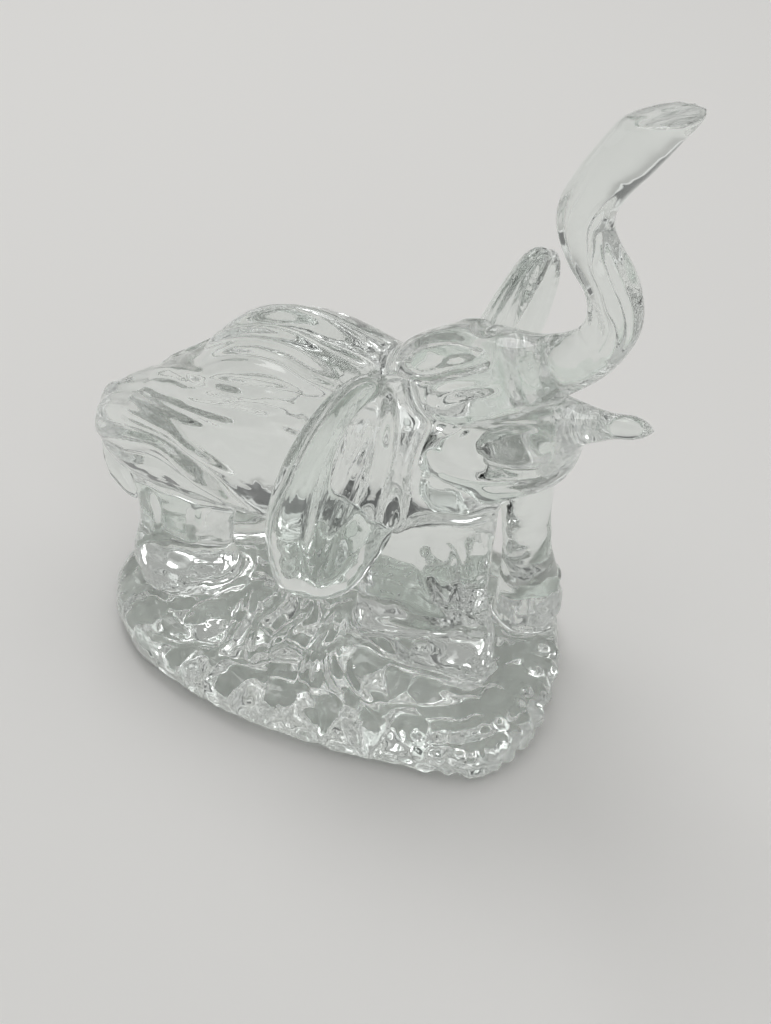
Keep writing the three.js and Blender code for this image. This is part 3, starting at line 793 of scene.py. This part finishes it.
class Joints:
    """The owner of every face of the skin, with ragged edges combed out, and the joints between them."""

    def __init__(self, mesh, owners):
        faces = len(mesh.polygons)
        centres = np.empty(faces * 3)
        mesh.polygons.foreach_get("center", centres)
        self.owner = owners.of(centres.reshape(-1, 3).tolist())
        corners = np.empty(len(mesh.loops), dtype=int)
        mesh.loops.foreach_get("vertex_index", corners)
        totals = np.empty(faces, dtype=int)
        mesh.polygons.foreach_get("loop_total", totals)
        self.corner_vertex = corners
        self.corner_face = np.repeat(np.arange(faces), totals)
        self.count = len(mesh.vertices)
        edges = np.empty(len(mesh.edges) * 2, dtype=int)
        mesh.edges.foreach_get("vertices", edges)
        self.edges = edges.reshape(-1, 2)

    def votes(self):
        """How many corners of each owner meet at every vertex."""
        kinds = len(NODES)
        flat = self.corner_vertex * kinds + self.owner[self.corner_face]
        return np.bincount(flat, minlength=self.count * kinds).reshape(-1, kinds)

    def comb(self, rounds):
        """Gives each face to the owner that most of its neighbours have, or leaves it at a tie."""
        kinds = len(NODES)
        for _ in range(rounds):
            votes = self.votes()[self.corner_vertex]
            sums = np.zeros((len(self.owner), kinds))
            np.add.at(sums, self.corner_face, votes)
            sums[np.arange(len(self.owner)), self.owner] += 0.5
            self.owner = sums.argmax(1)

    def nearness(self, rounds):
        """1 at a joint, falling smoothly to 0 away from it, for every vertex."""
        near = ((self.votes() > 0).sum(1) > 1).astype(float)
        start = near > 0
        a, b = self.edges.T
        ways = np.bincount(self.edges.ravel(), minlength=self.count)
        for _ in range(rounds):
            sums = np.bincount(a, near[b], self.count) + np.bincount(b, near[a], self.count)
            near = np.where(start, 1.0, sums / np.maximum(ways, 1))
        return near


def raise_mark(lift, places, height, width, points):
    """Adds one ridge, crease, pad or knob to the lift of the skin near its line."""
    line = np.array(points, dtype=float)
    low = line.min(0) - MARK_REACH * width
    high = line.max(0) + MARK_REACH * width
    near = np.flatnonzero(((places > low) & (places < high)).all(1))
    gap = np.full(len(near), np.inf)
    share = np.zeros(len(near))
    for k, (a, b) in enumerate(zip(line[:-1], line[1:])):
        run = b - a
        t = np.clip((places[near] - a) @ run / max(run @ run, 1e-9), 0, 1)
        away = np.linalg.norm(places[near] - a - t[:, None] * run, axis=1)
        better = away < gap
        gap[better] = away[better]
        share[better] = ((k + t) / (len(line) - 1))[better]
    fade = 1.0
    if len(line) > 2 and not np.allclose(line[0], line[-1]):
        fade = np.clip(np.minimum(share, 1 - share) / FADE_SHARE, 0, 1) ** FADE_POWER
    lift[near] += height * np.exp(-((gap / width) ** 2)) * fade


def press_dents(places, normals, dents):
    """Presses the hollows up into the underside."""
    below = np.flatnonzero((normals[:, 2] < -FACING_DOWN[0]) & (places[:, 2] < DENTS_BELOW))
    hollow = np.zeros(len(below))
    for x, y, radius, depth in dents:
        gap = np.hypot(places[below, 0] - x, places[below, 1] - y)
        hollow = np.maximum(hollow, depth * np.clip(1 - (gap / radius) ** 2, 0, 1))
    places[below, 2] += hollow * ramp(-normals[below, 2], *FACING_DOWN)


def tooled(mesh, marks, dents):
    """Raises ridges and knobs, presses creases, and dents the underside, which stays on the table."""
    places = vertex_places(mesh)
    normals = vertex_normals(mesh)
    lift = np.zeros(len(places))
    for height, width, points in marks:
        raise_mark(lift, places, height, width, points)
    lift += hand_waves(places)
    places = places + normals * lift[:, None]
    press_dents(places, normals, dents)
    places[:, 2] = np.maximum(places[:, 2], 0)
    mesh.vertices.foreach_set("co", places.ravel())
    mesh.update()


def hand_waves(places):
    """The gentle unevenness of hot worked glass, stronger low down where it was pressed."""
    heights = places[:, 2]
    waves = np.empty(len(places))
    for k, place in enumerate(places.tolist()):
        spot = Vector(place)
        waves[k] = noise.noise(spot / LONG_WAVE) + SHORT_WAVE_SHARE * noise.noise(spot / SHORT_WAVE)
    legs = ramp(heights, *LEG_WAVES_BELOW) * ramp(heights, *LEG_WAVES_ABOVE)
    waves *= WAVE_HEIGHT + LOW_WAVE_HEIGHT * ramp(heights, *LOW_WAVES) + LEG_WAVE_HEIGHT * legs
    from_patch = np.hypot(places[:, 0] - SMOOTH_PATCH[0], places[:, 1] - SMOOTH_PATCH[1])
    pressed = ramp(heights, *CRINKLE_HEIGHTS) * ramp(from_patch, *SMOOTH_PATCH_REACH)
    for k in np.flatnonzero(pressed):
        spot = Vector(places[k])
        fine = FINE_CRINKLE * noise.noise(spot / FINE_CRINKLE_LENGTH)
        coarse = COARSE_CRINKLE * noise.noise(spot / COARSE_CRINKLE_LENGTH + COARSE_CRINKLE_SHIFT)
        waves[k] += (fine + coarse) * pressed[k]
    return waves


def underside_dents(outline):
    """Hollows strewn evenly over the underside, clear of the rim it rests on: x, y, radius, depth."""
    dents = []
    for k in range(DENTS):
        out = DENTS_OUT * ((k + 0.5) / DENTS) ** 0.5
        edge = outline[round(FOOT_STEPS * DENT_ROUND * k) % FOOT_STEPS]
        more = 0.5 + 0.5 * math.sin(2.4 * k)
        radius = DENT_RADIUS + DENT_RADIUS_MORE * more
        depth = DENT_DEPTH + DENT_DEPTH_MORE * more
        dents.append((out * edge.x, out * edge.y, radius, depth))
    return dents


def smooth_run(points, steps):
    """Points of a smooth line through a few given ones."""
    points = [Vector(p) for p in points]
    return [along_line(points, k / steps) for k in range(steps + 1)]


def skin_run(line, side=1):
    """A smooth run of share and scaled turn along a gather, mirrored for the other side."""
    return smooth_run([(share, side * degrees / TURN_SCALE, 0) for share, degrees in line], GATHER_STEPS)


def flank_pleats(side):
    """Ridges and creases by turns between the two lines that bound the bundle, no two of them alike."""
    bounds = list(zip(skin_run(PLEATS_ABOVE, side), skin_run(PLEATS_BELOW, side)))
    pleats = []
    for k in range(PLEATS):
        swing = PLEAT_SWING * math.sin(2.1 * k + side)
        start = round(PLEAT_START + PLEAT_END_SWING * math.sin(1.7 * k + side))
        stop = round(PLEAT_STOP + PLEAT_END_SWING * math.sin(2.3 * k))
        run = []
        for above, below in bounds[start:stop]:
            place = above.lerp(below, (k + 0.5 + swing) / PLEATS)
            run.append(on_gather(TORSO, place.x, place.y * TURN_SCALE))
        strong = PLEAT_HEIGHT_SHARE + PLEAT_HEIGHT_SWING * math.sin(3.1 * k + 2 * side)
        pleats.append((PLEAT_HEIGHT * strong * (1 if k % 2 else PLEAT_CREASE), PLEAT_WIDTH, run))
    return pleats


def gather_marks():
    """The ridges, folds and creases that are told along their own gathers."""
    marks = []
    for stations, group in (
        (TORSO, FLANK_RIDGES), (TORSO, FAR_RIDGES), (HEAD, HEAD_MARKS),
        (TRUNK, TRUNK_MARKS), (LOWER_JAW, JAW_MARKS),
    ):
        for height, width, line in group:
            run = [on_gather(stations, place.x, place.y * TURN_SCALE) for place in skin_run(line)]
            marks.append((height, width, run))
    return marks


def trunk_fillet():
    """The ring of glass in the corner round the trunk's joint."""
    ring = []
    for degrees in range(-180, 181, 10):
        share = FILLET_SHARE - FILLET_SWING * math.cos(math.radians(degrees))
        ring.append(on_gather(TRUNK, share, degrees))
    return FILLET_HEIGHT, FILLET_WIDTH, ring


def toe_marks():
    """A rolled lid over a slit at each toe."""
    marks = []
    for lid, depth, width, drop, line in TOES:
        run = smooth_run(line, TOE_STEPS)
        slit = []
        for k, place in enumerate(run):
            middle = math.sin(math.pi * k / TOE_STEPS)
            sag = drop * (TOE_END_DROP + (1 - TOE_END_DROP) * middle)
            slit.append(place - Vector((0, 0, sag)))
        marks.append((lid, TOE_LID_WIDTH, run))
        marks.append((-depth, width, slit[TOE_SHORTER:-TOE_SHORTER]))
    return marks


def crown_folds(foot_tree):
    """The folds between the pads, laid down on the foot's crown from above."""
    down = Vector((0, 0, -1))
    marks = []
    for height, width, line in VALLEY_FOLDS:
        run = smooth_run([(x, y, FOLDS_FROM) for x, y in line], CROWN_STEPS)
        marks.append((height, width, [foot_tree.ray_cast(place, down)[0] for place in run]))
    return marks


def corner_knobs(outline):
    """Rows of knobs round the front corner of the foot, largest in the middle of each row."""
    marks = []
    for row, (height, out) in enumerate(KNOB_ROWS):
        for k in range(KNOBS_IN_ROW):
            step = KNOBS_START + KNOBS_SPACING * (k + 0.5 * (row % 2))
            edge = outline[round(step) % FOOT_STEPS]
            spot = Vector((edge.x * out, edge.y * out, height))
            strong = math.sin(math.pi * (k + 0.7) / (KNOBS_IN_ROW + 1)) ** 0.5
            marks.append((KNOB_HEIGHT * strong, KNOB_WIDTH, [spot, spot + KNOB_HAIR]))
    return marks


def all_marks(outline, foot_tree):
    """Every ridge, crease, pad and knob, as height, width and points in the frame."""
    leg_folds = [(height, width, smooth_run(line, LEG_STEPS)) for height, width, line in LEG_FOLDS]
    return [
        *gather_marks(), *flank_pleats(1), *flank_pleats(-1), trunk_fillet(), *toe_marks(),
        *leg_folds, *PADS, *crown_folds(foot_tree), *corner_knobs(outline),
    ]


# Parting at the joints

def parted(skin, owners):
    """Each gather's own share of the fused skin, closed across its joints."""
    joints = Joints(skin, owners)
    joints.comb(COMB_ROUNDS)
    normals = skin.attributes.new("skin_normal", "FLOAT_VECTOR", "POINT")
    normals.data.foreach_set("vector", vertex_normals(skin).ravel())
    share = skin.attributes.new("owner", "INT", "FACE")
    share.data.foreach_set("value", joints.owner.astype(np.int32))
    whole = bmesh.new()
    whole.from_mesh(skin)
    pieces = {}
    for index, name in enumerate(NODES):
        bm = whole.copy()
        owner = bm.faces.layers.int["owner"]
        bmesh.ops.delete(bm, geom=[f for f in bm.faces if f[owner] != index], context="FACES")
        keep_largest(bm)
        close_joints(bm)
        bmesh.ops.scale(bm, vec=(MM, MM, MM), verts=bm.verts[:])
        mesh = bpy.data.meshes.new(name + "_glass")
        bm.to_mesh(mesh)
        bm.free()
        keep_normals(mesh)
        pieces[name] = mesh
    whole.free()
    return pieces


def close_joints(bm):
    """Caps the open joints of a gather with fans of flat faces."""
    caps = bmesh.ops.holes_fill(bm, edges=open_edges(bm), sides=0)["faces"]
    caps += bmesh.ops.edgeloop_fill(bm, edges=open_edges(bm))["faces"]
    fans = bmesh.ops.poke(bm, faces=caps)["faces"]
    for face in bm.faces:
        face.smooth = True
        face.material_index = SKIN_FACE
    for face in fans:
        face.smooth = False
        face.material_index = JOINT_FACE


def keep_largest(bm):
    """Drops specks of skin that are cut off from the rest of their gather."""
    left = set(bm.faces)
    groups = []
    while left:
        seed = left.pop()
        group, todo = [seed], [seed]
        while todo:
            for edge in todo.pop().edges:
                for face in edge.link_faces:
                    if face in left:
                        left.remove(face)
                        group.append(face)
                        todo.append(face)
        groups.append(group)
    groups.sort(key=len)
    for group in groups[:-1]:
        bmesh.ops.delete(bm, geom=group, context="FACES")


def keep_normals(mesh):
    """Shades every piece as the one skin it was parted from, so that no joint shows."""
    normals = np.empty(len(mesh.vertices) * 3)
    mesh.attributes["skin_normal"].data.foreach_get("vector", normals)
    corners = np.empty(len(mesh.loops), dtype=int)
    mesh.loops.foreach_get("vertex_index", corners)
    shading = normals.reshape(-1, 3)[corners]
    for face in mesh.polygons:
        if face.material_index == JOINT_FACE:
            shading[face.loop_start:face.loop_start + face.loop_total] = face.normal
    mesh.normals_split_custom_set(shading.tolist())
    mesh.attributes.remove(mesh.attributes["skin_normal"])
    mesh.attributes.remove(mesh.attributes["owner"])


# Finishes

class Flow:
    """A socket of a node tree, so that shader maths reads as plain arithmetic."""

    def __init__(self, tree, socket):
        self.tree = tree
        self.socket = socket

    def maths(self, operation, first, second):
        return add_node(self.tree, "ShaderNodeMath", {"operation": operation}, {0: first, 1: second})

    def __add__(self, other):
        return self.maths("ADD", self, other)

    def __radd__(self, other):
        return self.maths("ADD", other, self)

    def __mul__(self, other):
        return self.maths("MULTIPLY", self, other)

    def __rmul__(self, other):
        return self.maths("MULTIPLY", other, self)


def add_node(tree, kind, settings=None, sockets=None, output=0):
    """Adds a node, with its settings first, then its socket values or links, and gives one output."""
    node = tree.nodes.new(kind)
    for name, value in (settings or {}).items():
        if name == "stops":
            stops = node.color_ramp.elements
            while len(stops) < len(value):
                stops.new(1)
            for stop, (position, colour) in zip(stops, value):
                stop.position = position
                stop.color = (*colour, 1)
        else:
            setattr(node, name, value)
    for name, value in (sockets or {}).items():
        if isinstance(value, Flow):
            tree.links.new(value.socket, node.inputs[name])
        else:
            node.inputs[name].default_value = value
    return Flow(tree, node.outputs[output]) if node.outputs else None


def bare_material(name):
    """A new material with an empty node tree."""
    material = bpy.data.materials.new(name)
    material.use_nodes = True
    material.node_tree.nodes.clear()
    return material, material.node_tree


def clear_glass(name, polish, streak, pull, deep_tint, pale_tint):
    """Clear soda glass, faintly green, with drawn streaks and a few smears where it was handled."""
    material, tree = bare_material(name)
    place = add_node(tree, "ShaderNodeTexCoord", output="Object")
    drawn = add_node(tree, "ShaderNodeMapping", {}, {"Vector": place, "Scale": pull})
    cords = add_node(
        tree, "ShaderNodeTexNoise", {},
        {"Vector": drawn, "Scale": 1, "Detail": 3, "Roughness": 0.5},
    )
    smears = add_node(
        tree, "ShaderNodeTexNoise", {},
        {"Vector": place, "Scale": 70, "Detail": 2, "Roughness": 0.55},
    )
    smeared = add_node(
        tree, "ShaderNodeMapRange", {},
        {"Value": smears, "From Min": 0.56, "From Max": 0.74},
    )
    tint = add_node(
        tree, "ShaderNodeMix", {"data_type": "RGBA"},
        {0: cords, 6: (*deep_tint, 1), 7: (*pale_tint, 1)}, 2,
    )
    waves = add_node(
        tree, "ShaderNodeBump", {},
        {"Strength": streak, "Distance": STREAK_DEPTH, "Height": cords},
    )
    surface = add_node(
        tree, "ShaderNodeBsdfPrincipled", {},
        {
            "Base Color": tint,
            "Roughness": polish + SMEAR_ROUGHNESS * smeared,
            "IOR": GLASS_IOR,
            "Transmission Weight": 1.0,
            "Normal": waves,
        },
    )
    add_node(tree, "ShaderNodeOutputMaterial", {}, {"Surface": surface})
    return material


def fused_joint():
    """The inside of a joint, where glass runs on into glass and nothing is seen."""
    material, tree = bare_material("fused_joint")
    surface = add_node(tree, "ShaderNodeBsdfPrincipled", {}, {"Alpha": 0.0, "IOR": GLASS_IOR})
    add_node(tree, "ShaderNodeOutputMaterial", {}, {"Surface": surface})
    return material


# Stage and light

def pale_table():
    """A plain pale table top under the foot."""
    bm = bmesh.new()
    bmesh.ops.create_circle(bm, cap_ends=True, segments=96, radius=TABLE_RADIUS)
    mesh = bpy.data.meshes.new("table")
    bm.to_mesh(mesh)
    bm.free()
    material, tree = bare_material("table_paper")
    surface = add_node(
        tree, "ShaderNodeBsdfPrincipled", {},
        {"Base Color": (*TABLE_PAPER, 1), "Roughness": 0.9, "Specular IOR Level": 0.1},
    )
    add_node(tree, "ShaderNodeOutputMaterial", {}, {"Surface": surface})
    mesh.materials.append(material)
    table = bpy.data.objects.new("table", mesh)
    table.location.z = -TABLE_DROP
    bpy.context.collection.objects.link(table)


def studio():
    """A pale room with a dusky band of wall, a low shelf on one side and a darker wall on another."""
    world = bpy.data.worlds.new("studio")
    bpy.context.scene.world = world
    world.use_nodes = True
    tree = world.node_tree
    tree.nodes.clear()
    way = add_node(tree, "ShaderNodeTexCoord", output="Generated")
    level = add_node(tree, "ShaderNodeSeparateXYZ", {}, {0: way}, "Z") * 0.5 + 0.5
    along = add_node(tree, "ShaderNodeSeparateXYZ", {}, {0: way}, "X")
    across = add_node(tree, "ShaderNodeSeparateXYZ", {}, {0: way}, "Y")
    walls = add_node(tree, "ShaderNodeValToRGB", {"stops": PALE_WALL}, {0: level})
    for stops, forward, leftward in SIDE_WALLS:
        wall = add_node(tree, "ShaderNodeValToRGB", {"stops": stops}, {0: level})
        facing = add_node(
            tree, "ShaderNodeMapRange", {},
            {"Value": along * forward + across * leftward, "From Min": -WALL_BLEND, "From Max": WALL_BLEND},
        )
        walls = add_node(
            tree, "ShaderNodeMix", {"data_type": "RGBA"},
            {0: facing, 6: walls, 7: wall}, 2,
        )
    light = add_node(tree, "ShaderNodeBackground", {}, {"Color": walls, "Strength": 1.0})
    add_node(tree, "ShaderNodeOutputWorld", {}, {"Surface": light})


def lamp(name, place, aim, size, power):
    """A soft lamp that shines from its place towards its aim."""
    light = bpy.data.lights.new(name, "AREA")
    light.shape = "RECTANGLE"
    light.size, light.size_y = size
    light.energy = power
    holder = bpy.data.objects.new(name, light)
    holder.location = place
    away = Vector(place) - Vector(aim)
    holder.rotation_euler = away.to_track_quat("Z", "Y").to_euler()
    bpy.context.collection.objects.link(holder)


def viewpoint():
    """The place that the elephant is seen from, and how light is followed through the glass."""
    camera = bpy.data.cameras.new("viewpoint")
    camera.lens = VIEW_LENS
    camera.sensor_width = VIEW_SENSOR
    camera.clip_start = VIEW_NEAREST
    holder = bpy.data.objects.new("viewpoint", camera)
    turn = Matrix((VIEW_RIGHT, VIEW_UP, VIEW_BACK)).transposed().to_4x4()
    holder.matrix_world = Matrix.Translation(VIEW_PLACE) @ turn
    bpy.context.collection.objects.link(holder)
    scene = bpy.context.scene
    scene.camera = holder
    scene.view_settings.view_transform = "Standard"
    scene.cycles.max_bounces = BENDS
    scene.cycles.transmission_bounces = BENDS
    scene.cycles.glossy_bounces = MIRRORINGS
    scene.cycles.transparent_max_bounces = JOINTS_PASSED


def worked_glass():
    """The meshes of all the pieces, drawn, melted, tooled and parted."""
    outline = foot_outline()
    gathers = {"foot": pressed_foot(outline)}
    for name, (stations, sides, rings) in SWEPT.items():
        gathers[name] = swept(stations, sides, rings)
    snipped(gathers["trunk"])
    for name, stance in EARS.items():
        gathers[name] = leaf(*stance)
    owners = Owners(gathers)
    skin = melted(gathers, owners)
    foot_tree = BVHTree.FromBMesh(gathers["foot"])
    tooled(skin, all_marks(outline, foot_tree), underside_dents(outline))
    for bm in gathers.values():
        bm.free()
    return parted(skin, owners)


def glass_finishes():
    """Each piece's finish: pressed on the foot, fire polished where it was pulled out, drawn elsewhere."""
    polished = clear_glass(
        "fire_polished_glass", polish=0.0, streak=0.10, pull=(120, 120, 40),
        deep_tint=DEEP_GREEN, pale_tint=FAINT_GREEN,
    )
    drawn = clear_glass(
        "drawn_glass", polish=0.004, streak=0.16, pull=(36, 260, 260),
        deep_tint=DEEP_GREEN, pale_tint=FAINT_GREEN,
    )
    pressed = clear_glass(
        "pressed_glass", polish=0.010, streak=0.14, pull=(150, 150, 150),
        deep_tint=PRESSED_GREEN, pale_tint=PALE_GREEN,
    )
    finishes = dict.fromkeys(NODES, drawn)
    finishes.update(dict.fromkeys(("ear_right", "ear_left", "trunk", "lower_jaw", "tail"), polished))
    finishes["foot"] = pressed
    return finishes


def main():
    viewpoint()
    pale_table()
    studio()
    for name, (place, aim, size, power) in LAMPS.items():
        lamp(name, place, aim, size, power)

    finishes = glass_finishes()
    joint = fused_joint()
    for name, mesh in worked_glass().items():
        mesh.materials.append(finishes[name])
        mesh.materials.append(joint)
        piece = bpy.data.objects.new(name + "_glass", mesh)
        bpy.context.collection.objects.link(piece)
        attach(piece, "root")
        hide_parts(name)


main()
